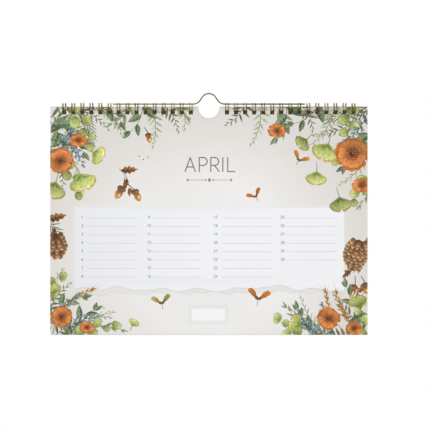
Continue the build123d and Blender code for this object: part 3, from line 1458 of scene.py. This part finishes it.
WILLOW, LAUREL, FERN, PALE_FERN, COIN_LEAF, BLUEBELL, WHEAT, OAK, PINE = Plant

# Each motif of the border, in the order of painting, with the places and sizes of its copies
LAYOUT: tuple[tuple[Callable[..., None], tuple[tuple, ...]], ...] = (
    # Sprigs that hang from the top edge, on both sides of the notch
    (Border.spray, (
        (PALE_FERN, -58, 6, -82, 42), (WILLOW, -74, 5, -128, 26), (LAUREL, -62, 5, -112, 30),
        (FERN, -48, 6, -56, 34), (PALE_FERN, -30, 6, -74, 26), (WILLOW, -38, 5, -38, 22),
        (PALE_FERN, 46, 6, -98, 40), (FERN, 34, 6, -128, 28), (WILLOW, 60, 5, -70, 30),
        (LAUREL, 72, 5, -104, 34), (FERN, 82, 5, -60, 30),
    )),
    (Border.acorn, ((-57, -24, -80, 8),)),
    (Border.poppy, ((64, -22, 8.5, 5, 0.8),)),
    # Garland in the top left corner
    (Border.spray, (
        (PALE_FERN, -112, 6, -46, 44), (PINE, -152, 2, -8, 60), (FERN, -152, 3, -22, 62),
        (FERN, -152, -8, -34, 50), (PALE_FERN, -152, -20, -58, 56), (PINE, -128, 6, -64, 42),
        (LAUREL, -106, 5, -38, 30), (FERN, -152, -34, -70, 44), (LAUREL, -152, -22, -30, 40),
        (WILLOW, -130, 4, -100, 46), (COIN_LEAF, -150, -44, -52, 44), (LAUREL, -150, -12, -72, 46),
        (BLUEBELL, -148, -30, -38, 38), (BLUEBELL, -140, -16, -58, 34), (COIN_LEAF, -134, -2, -54, 38),
    )),
    (Border.fan, ((-121, -62, -70, 17), (-143, -70, -110, 16), (-109, -42, -30, 12))),
    (Border.poppy, ((-139, -50, 12.5), (-122, -31, 9, 6, 0.7))),
    # Garland in the top right corner
    (Border.spray, (
        (PINE, 152, 3, -170, 54), (FERN, 152, 2, -152, 60), (PALE_FERN, 118, 6, -118, 46),
        (FERN, 152, -18, -138, 44), (PALE_FERN, 152, -30, -124, 50), (LAUREL, 104, 5, -140, 32),
        (COIN_LEAF, 128, 4, -98, 52), (LAUREL, 152, -12, -120, 50), (WILLOW, 152, -52, -104, 40),
        (COIN_LEAF, 151, -56, -122, 40), (LAUREL, 151, -62, -84, 34), (BLUEBELL, 148, -4, -128, 36),
    )),
    (Border.fan, ((112, -34, -112, 17), (101, -60, -96, 13), (122, -84, -80, 14), (92, -30, -140, 11))),
    (Border.poppy, ((134, -44, 16, 7), (143, -73, 9, 5, 0.75))),
    # Bouquet in the bottom left corner
    (Border.spray, (
        (PALE_FERN, -150, -196, 74, 44), (FERN, -152, -206, 62, 46), (WHEAT, -150, -212, 46, 56),
        (FERN, -146, -216, 20, 56), (PALE_FERN, -128, -217, 34, 44), (LAUREL, -152, -200, 34, 40),
        (WILLOW, -140, -216, 8, 58), (LAUREL, -130, -216, 50, 34), (COIN_LEAF, -152, -188, 66, 30),
        (BLUEBELL, -146, -212, 58, 40), (BLUEBELL, -136, -214, 30, 36), (COIN_LEAF, -122, -217, 22, 34),
    )),
    (Border.poppy, ((-138, -196, 10), (-114, -206, 7, 5, 0.8))),
    (Border.fan, ((-146, -176, 96, 11),)),
    # Cone, oak leaves and acorns at the right edge
    (Border.spray, (
        (OAK, 152, -118, -118, 40), (PINE, 152, -112, -112, 40, 0.9), (OAK, 154, -146, -112, 34),
    )),
    (Border.cone, ((141, -124, -104, 29),)),
    (Border.acorn, ((137, -166, -112, 10), (146, -164, -82, 9))),
    # Cone at the left edge
    (Border.spray, ((PINE, -152, -108, -62, 30, 0.8), (OAK, -153, -104, -58, 22, 0.8))),
    (Border.cone, ((-144, -118, -84, 23),)),
    # Bouquet in the bottom right corner
    (Border.spray, (
        (PALE_FERN, 120, -217, 132, 50), (FERN, 148, -216, 160, 74), (WILLOW, 128, -217, 152, 62),
        (LAUREL, 104, -217, 128, 34), (FERN, 152, -204, 140, 46), (WHEAT, 136, -217, 122, 50),
        (WHEAT, 148, -212, 128, 46), (COIN_LEAF, 94, -217, 148, 32), (LAUREL, 152, -196, 130, 36),
        (COIN_LEAF, 150, -214, 104, 30), (BLUEBELL, 112, -217, 138, 38), (BLUEBELL, 122, -216, 118, 34),
    )),
    (Border.poppy, ((112, -198, 11, 7), (136, -207, 8, 5, 0.8))),
    (Border.fan, ((86, -205, 150, 12), (141, -188, 108, 12))),
    # Small things that lie loose on the page
    (Border.spray, ((OAK, -84, -58, -62, 20, 0.75),)),
    (Border.acorn, ((-80, -74, -122, 11), (-70, -77, -64, 10))),
    (Border.maple_key, (
        (84, -50, 60, 10, (226, 146, 62)), (44, -84, 120, 9, (214, 122, 52)),
        (46, -180, 80, 13, (206, 128, 58)), (-44, -184, 100, 11, (206, 184, 104)),
    )),
    (Border.fan, ((-72, -205, 60, 7),)),
    (Border.seed_dot, (
        (-66, -46), (-62, -49), (-58, -47), (-99, -188), (-94, -191), (92, -196), (87, -193),
    )),
)


# Lettering and panel


def pen(line: list[Point], width: float, colour: Colour) -> list[Ink]:
    """Draw a line of even width as one short stroke for each part of it.

    Args:
        line: Points of the line.
        width: Its width.
        colour: Its colour.

    Returns:
        One ink for each part of the line.
    """
    inks = []
    for start, end in zip(line, line[1:]):
        length = math.hypot(end[0] - start[0], end[1] - start[1])
        if length < 0.01:
            continue
        over = 0.25 * width / length
        reach = (over * (end[0] - start[0]), over * (end[1] - start[1]))
        stroke = [(start[0] - reach[0], start[1] - reach[1]), (end[0] + reach[0], end[1] + reach[1])]
        inks.append(Ink(ribbon(stroke, width, width), colour))
    return inks


@dataclass
class AprilPage:
    """Lettering, rule, writing panel and dates of the page, in millimetres."""

    title_top: float = -47.15
    title_foot: float = -60.25
    title_waist: float = -54.5
    title_stroke: float = 1.12
    title_grey: Colour = (124, 125, 124)
    rule_z: float = -68.2
    rule_left: float = -19.8
    rule_middle: float = 0.5
    rule_right: float = 20.8
    rule_grey: Colour = (150, 152, 150)
    diamond_grey: Colour = (128, 130, 128)
    panel_left: float = -125.2
    panel_right: float = 126.4
    panel_top: float = -93.5
    panel_foot: float = -170.0
    first_row: float = -103.0
    row_pitch: float = 7.9
    line_drop: float = 0.7
    line_width: float = 0.5
    line_grey: Colour = (214, 215, 219)
    number_height: float = 2.4
    number_stroke: float = 0.38
    number_grey: Colour = (112, 114, 118)
    columns: tuple[tuple[int, int, float, float, float], ...] = (
        (1, 8, -118.2, -113.9, -68.7),
        (9, 16, -55.8, -53.2, -8.0),
        (17, 24, 6.6, 12.6, 58.8),
        (25, 30, 69.2, 71.8, 119.5),
    )
    label: Rgba = (-18.6, 17.8, -202.2, -186.2)

    def title(self) -> list[Ink]:
        """Draw the month's name in thin capitals, letter by letter."""
        top, foot, waist = self.title_top, self.title_foot, self.title_waist
        bowl = (waist - top) / -2
        letters = [
            [(-22.3, foot), (-17.5, top), (-12.7, foot)],
            [(-20.7, -56.0), (-14.3, -56.0)],
            [(-9.0, foot), (-9.0, top), (-5.2, top), *arc((-5.2, top - bowl), (3.6, bowl), 80, -80)],
            [(-9.0, waist), (-5.0, waist)],
            [(1.8, foot), (1.8, top), (5.6, top), *arc((5.6, top - bowl), (3.6, bowl), 80, -80)],
            [(1.8, waist), (5.8, waist)],
            [(5.2, waist), (9.7, foot)],
            [(13.0, foot), (13.0, top)],
            [(17.6, top), (17.6, foot), (24.4, foot)],
        ]
        return [ink for line in letters for ink in pen(line, self.title_stroke, self.title_grey)]

    def diamond(self, x: float, width: float, height: float) -> Ink:
        """Draw a diamond on the rule.

        Args:
            x: Its middle, across the page.
            width: Its width.
            height: Its height.

        Returns:
            The ink.
        """
        z = self.rule_z
        outline = [(x - width / 2, z), (x, z + height / 2), (x + width / 2, z), (x, z - height / 2)]
        return Ink(outline, self.diamond_grey)

    def rule(self) -> list[Ink]:
        """Draw the rule below the month's name, with its diamonds."""
        inks = []
        for start, end in ((self.rule_left, -4.0), (5.0, self.rule_right)):
            inks += pen([(start, self.rule_z), (end, self.rule_z)], self.line_width, self.rule_grey)
        inks += [self.diamond(x, 2.3, 3.1) for x in (self.rule_left, self.rule_right)]
        inks += [self.diamond(self.rule_middle + side * 3.4, 2.0, 2.0) for side in (-1, 1)]
        return inks + [self.diamond(self.rule_middle, 3.0, 4.4)]

    def torn_edge(self, drop: float, seed: int) -> list[Point]:
        """Give a torn lower edge of the panel, from right to left, lowered by a drop.

        Args:
            drop: How far it is lowered.
            seed: Start of the dice, which sets the shape of the tear.

        Returns:
            Points along the edge.
        """
        dice = random.Random(seed)
        waves = [(dice.uniform(0.02, 0.35), dice.uniform(0, 6), dice.uniform(0.2, 1.0)) for _ in range(7)]
        points = []
        steps = 90
        for step in range(steps + 1):
            x = self.panel_right + (self.panel_left - self.panel_right) * step / steps
            lift = sum(size * 0.9 * math.sin(pace * x + phase) for pace, phase, size in waves)
            points.append((x, self.panel_foot - drop + lift + dice.uniform(-0.25, 0.25)))
        return points

    def panel(self) -> list[Ink]:
        """Draw the pale writing panel, with a torn lower edge over a second torn sheet."""
        top = [(self.panel_left + 0.6, self.panel_top - 0.8), (self.panel_right, self.panel_top - 0.8)]
        inks = []
        for seed, drop, colour, cover in (
            (23, 5.0, (196, 194, 192), 0.1),
            (23, 4.0, (190, 188, 188), 0.18),
            (23, 3.2, (233, 233, 235), 0.75),
            (11, 0.9, (190, 191, 196), 0.2),
            (11, 0.45, (190, 191, 196), 0.3),
        ):
            inks.append(Ink(top + self.torn_edge(drop, seed), colour, cover=cover))
        for reach in (1.4, 0.6, -0.2):
            low, high = self.panel_foot + 9, self.panel_top + reach
            left, right = self.panel_left - reach, self.panel_right + reach * 0.6
            edge = [(left, low), (right, low), (right, high), (left, high)]
            inks.append(Ink(edge, (238, 239, 243), cover=0.28))
        near, far = (self.panel_left, 0.0), (-20.0, 0.0)
        face = Ink(top + self.torn_edge(0.0, 11), (236, 237, 241), (246, 247, 249), near, far, cover=0.96)
        return inks + [face]

    @staticmethod
    def numeral(digit: int) -> list[list[Point]]:
        """Give the strokes of a digit that is one high and about 0.56 wide.

        Args:
            digit: A number from 0 to 9.

        Returns:
            The points of each stroke.
        """
        left, middle, right = 0.02, 0.28, 0.54
        shapes = (
            [arc((middle, 0.5), (0.26, 0.5), 90, 270), arc((middle, 0.5), (0.26, 0.5), -90, 90)],
            [[(0.14, 0.8), (0.34, 1.0), (0.34, 0.0)]],
            [[*arc((middle, 0.72), (0.26, 0.28), 170, -35), (left, 0.0), (right, 0.0)]],
            [arc((0.25, 0.75), (0.25, 0.25), 150, -80), arc((0.25, 0.27), (0.29, 0.27), 80, -150)],
            [[(0.42, 0.0), (0.42, 1.0), (left, 0.28), (right, 0.28)]],
            [[(0.5, 1.0), (0.1, 1.0), (0.06, 0.56), *arc((0.26, 0.32), (0.28, 0.32), 115, -150)]],
            [[(0.44, 1.0), (0.12, 0.62), *arc((middle, 0.3), (0.26, 0.3), 180, 500, 9)]],
            [[(left, 1.0), (right, 1.0), (0.18, 0.0)]],
            [
                arc((middle, centre), size, start, start + 180)
                for centre, size in ((0.76, (0.22, 0.24)), (0.26, (0.27, 0.26))) for start in (-90, 90)
            ],
            [[(0.12, 0.0), (0.44, 0.38), *arc((middle, 0.7), (0.26, 0.3), 0, 320, 9)]],
        )
        return shapes[digit]

    def dates(self) -> list[Ink]:
        """Draw the numbers of the days with a ruled line for each."""
        inks = []
        size = self.number_height
        for first, last, number_x, line_start, line_end in self.columns:
            for day in range(first, last + 1):
                z = self.first_row - (day - first) * self.row_pitch
                line = [(line_start, z - self.line_drop), (line_end, z - self.line_drop)]
                inks += pen(line, self.line_width, self.line_grey)
                text = str(day)
                for place, digit in enumerate(text):
                    left = number_x + (place - len(text) / 2) * 0.8 * size
                    for stroke in self.numeral(int(digit)):
                        line = [(left + x * size, z - size / 2 + y * size) for x, y in stroke]
                        inks += pen(line, self.number_stroke, self.number_grey)
        return inks

    def label_box(self) -> list[Ink]:
        """Draw the bare box at the foot of the page: a pale field in a double frame."""
        left, right, low, high = self.label
        frame_grey, pale, field_white = (215, 217, 217), (243, 243, 243), (250, 250, 250)
        inks = []
        for inset, colour in ((0.0, frame_grey), (0.5, pale), (2.0, frame_grey), (2.4, field_white)):
            a, b, c, d = left + inset, right - inset, low + inset, high - inset
            inks.append(Ink([(a, c), (b, c), (b, d), (a, d)], colour))
        return inks

    def inks(self) -> list[Ink]:
        """Give all the inks of the page, the lowest first."""
        lettering = self.title() + self.rule() + self.label_box()
        return self.panel() + self.dates() + lettering + Border().paint()


def dark_edge(width: float = 1.6) -> Ink:
    """Draw painted shade along the top edge of the first turned leaf, a dark strip that fades in towards the
    right, where it shows above the page.

    Args:
        width: Height of the strip, in millimetres.

    Returns:
        The ink.
    """
    across = (36.0, 60.0, 84.0, 148.5)
    strip = [(x, 0.0) for x in across] + [(x, -width) for x in reversed(across)]
    # The painted shade darkens from nothing at x 36 mm to full at x 84 mm.
    return Ink(strip, (44, 38, 18), start=(36.0, 0.0), end=(84.0, 0.0), cover=0.0, end_cover=1.0)


# Stage


def blank(owner: bpy.types.Material | bpy.types.World) -> Graph:
    """Empty the node tree of a material or a world and give it.

    Args:
        owner: The material or the world.

    Returns:
        Its empty graph.
    """
    owner.use_nodes = True
    owner.node_tree.nodes.clear()
    return Graph(owner.node_tree)


def stage_piece(
    name: str, y_or_z: str, place: float, boxes: list[Rgba], material: bpy.types.Material
) -> None:
    """Add upright or level rectangles of the stage, which face the front or the sky.

    Args:
        name: Name of the piece.
        y_or_z: The axis that the rectangles lie across.
        place: Their place on that axis.
        boxes: For each rectangle, its left, right, near or low, and far or high end.
        material: Their finish.
    """
    corners = []
    for left, right, low, high in boxes:
        corners += [(left, low), (right, low), (right, high), (left, high)]
    points = [(x, place, other) if y_or_z == "y" else (x, other, place) for x, other in corners]
    faces = [tuple(range(first, first + 4)) for first in range(0, len(corners), 4)]
    mesh = bpy.data.meshes.new(name)
    mesh.from_pydata(points, [], faces)
    mesh.materials.append(material)
    add_piece(name, mesh)


@dataclass
class Studio:
    """Camera, lights, floor and the bits of wall that show through the holes, which carry a painted shadow.
    """

    frame_width: float = 402.8 * MM
    aim_x: float = 5.7 * MM
    aim_z: float = -113.1 * MM
    lens: float = 150.0
    sensor: float = 36.0
    wall_gap: float = 0.6 * MM
    wall_ends: Point = (14.7 * MM, 138.3 * MM)
    wall_heights: Point = (-19.6 * MM, -14.8 * MM)
    # Dark brown of the painted shadow that the holes show.
    wall_paint: Colour = (104, 88, 66)
    sheet_reach: float = 8.0 * MM
    sheet_samples: int = 16
    open_air: float = 0.6
    closed_air: float = 0.42
    floor_drop: float = 0.9
    floor_half_width: float = 2.5
    floor_paint: Colour = (238, 237, 235)
    ambient: float = 0.5
    lamps: tuple[tuple[str, Colour, float, float], ...] = (
        ("key", (-0.9, -1.5, 0.8), 1.3, 16.0),
        ("fill", (1.3, -1.6, 0.1), 1.6, 7.5),
        ("back", (0.2, 1.8, 0.6), 1.5, 14.0),
    )

    def camera(self) -> None:
        """Put the camera square in front of the calendar, framed as in the photograph."""
        data = bpy.data.cameras.new("camera")
        data.lens = self.lens
        data.sensor_width = self.sensor
        data.clip_start = 0.01
        data.clip_end = 50.0
        camera = bpy.data.objects.new("camera", data)
        camera.location = (self.aim_x, -self.frame_width * self.lens / self.sensor, self.aim_z)
        camera.rotation_euler = (math.pi / 2, 0, 0)
        bpy.context.scene.collection.objects.link(camera)
        bpy.context.scene.camera = camera

    def world(self) -> None:
        """Light all round, seen as white by the camera and by the brass."""
        world = bpy.data.worlds.new("studio")
        bpy.context.scene.world = world
        graph = blank(world)
        light, white = (
            graph.out("ShaderNodeBackground", {"Color": (1, 1, 1, 1), "Strength": strength})
            for strength in (self.ambient, 1.0)
        )
        mixer = graph.out("ShaderNodeMixShader", {0: self.seen(graph), 1: light, 2: white})
        graph.node("ShaderNodeOutputWorld", {"Surface": mixer})

    @staticmethod
    def seen(graph: Graph) -> Socket:
        """Give 1 for a ray that looks at the background, from the camera or by a reflection.

        Args:
            graph: The finish's graph.

        Returns:
            The share, 0 or 1.
        """
        rays = graph.node("ShaderNodeLightPath").outputs
        bounced = graph.maths("MAXIMUM", rays["Is Glossy Ray"], rays["Is Transmission Ray"])
        return graph.maths("MAXIMUM", rays["Is Camera Ray"], bounced)

    def lamp(self, name: str, place: Colour, size: float, power: float) -> None:
        """Add a square soft light that is aimed at the middle of the page.

        Args:
            name: Name of the lamp.
            place: Where it hangs, in metres.
            size: Length of its side.
            power: Its power in watts.
        """
        data = bpy.data.lights.new(name, "AREA")
        data.size = size
        data.energy = power
        lamp = bpy.data.objects.new(name, data)
        lamp.location = place
        aim = Vector((0, 0, self.aim_z)) - lamp.location
        lamp.rotation_euler = aim.to_track_quat("-Z", "Y").to_euler()
        bpy.context.scene.collection.objects.link(lamp)

    @staticmethod
    def part_clear(name: str, paint: Colour, shown: Callable[[Graph], Socket]) -> bpy.types.Material:
        """Make a matt paint that is clear except where a share of the graph is 1.

        Args:
            name: The material's name.
            paint: Colour of the paint.
            shown: Builder of the share, which gets the finish's graph.

        Returns:
            The material.
        """
        material = bpy.data.materials.new(name)
        graph = blank(material)
        matt = graph.out("ShaderNodeBsdfDiffuse", {"Color": linear(paint)})
        clear = graph.out("ShaderNodeBsdfTransparent")
        mixer = graph.out("ShaderNodeMixShader", {0: shown(graph), 1: clear, 2: matt})
        graph.node("ShaderNodeOutputMaterial", {"Surface": mixer})
        return material

    def before_sheets(self, graph: Graph) -> Socket:
        """Give 1 for a look at a front face that has a sheet close in front of it, where the wall shows its
        painted shadow.

        Args:
            graph: The finish's graph.

        Returns:
            The share, from 0 to 1.
        """
        reach = {"Distance": self.sheet_reach}
        air = graph.node("ShaderNodeAmbientOcclusion", reach, samples=self.sheet_samples).outputs["AO"]
        covered = graph.remap(air, self.open_air, self.closed_air)
        away = graph.node("ShaderNodeNewGeometry").outputs["Backfacing"]
        front = graph.maths("MULTIPLY", self.seen(graph), graph.maths("SUBTRACT", 1.0, away))
        return graph.maths("MULTIPLY", front, covered)

    @staticmethod
    def off_camera(graph: Graph) -> Socket:
        """Give 1 for every ray but the camera's."""
        return graph.maths("SUBTRACT", 1.0, graph.node("ShaderNodeLightPath").outputs["Is Camera Ray"])

    def build(self) -> None:
        """Set up the whole studio.

        The bits of wall behind the rows of holes carry a painted shadow, dark brown where a sheet hangs
        close in front of them; they are clear from behind, and wherever no sheet hangs close in front. The
        floor gives light but isn't seen.
        """
        self.camera()
        self.world()
        near, far = self.wall_ends
        # The wall's paint is a painted shadow, shown only where a sheet hangs close in front.
        wall_finish = self.part_clear("shaded wall", self.wall_paint, self.before_sheets)
        rows = [(-far, -near, *self.wall_heights), (near, far, *self.wall_heights)]
        stage_piece("wall", "y", cad_box[1].y + self.wall_gap, rows, wall_finish)
        half = self.floor_half_width
        floor_finish = self.part_clear("pale floor", self.floor_paint, self.off_camera)
        stage_piece("floor", "z", -self.floor_drop, [(-half, half, -half, half)], floor_finish)
        for lamp in self.lamps:
            self.lamp(*lamp)
        bpy.context.scene.view_settings.view_transform = "Standard"


def main() -> None:
    """Build the studio and every piece in order, and report each of them."""
    logging.basicConfig(level=logging.INFO, format="%(name)s: %(message)s")
    Studio().build()
    brass = AntiqueBrass("antique brass", (172, 154, 74), (80, 67, 24)).make()
    # The hanger gets a painted highlight towards its left end and painted shade towards its right end.
    hanger_brass_with_painted_light = AntiqueBrass(
        "hanger brass", (120, 108, 34), (74, 64, 16), left=(138, 106, 54), right=(26, 20, 6)
    ).make()
    paper = Stock("uncoated paper", (236, 233, 226), (231, 227, 218), (222, 216, 204), 0.4, 0.2).make()
    # The printed leaf's edge colour is painted shade towards the top and sides of the page.
    printed = Stock(
        "printed leaf", (245, 244, 243), (240, 238, 236), (230, 227, 221), 0.3, 0.2, edge=(224, 220, 215)
    ).make()
    board = Stock("grey board", (148, 141, 131), (136, 129, 119), (106, 98, 88), 0.8, 0.5).make()

    tree = wire_tree()
    pieces = []
    for name, first in (("wire_binding_left", -LAST_HOLE), ("wire_binding_right", FIRST_HOLE)):
        pieces.append(TwinLoopBinding(name, first * MM, tree, brass).build())
    pieces.append(Hanger(tree, hanger_brass_with_painted_light).build())

    inks = AprilPage().inks()
    LOG.info("print: %d inks with %d corners", len(inks), sum(len(ink.outline) for ink in inks))
    pieces += stack("month_leaves", IN_FRONT, "leaves", paper, AIR, inks, printed)
    # Painted shade on the top edge of the first turned leaf.
    edge = [dark_edge()]
    pieces += stack("turned_leaves", TURNED_OVER, "turned", paper, AIR, edge, printed)
    pieces += stack("backing_board", 1, "board", board)
    for piece in pieces:
        LOG.info("%s: %d faces", piece.name, len(piece.data.polygons))


if __name__ == "__main__":
    main()
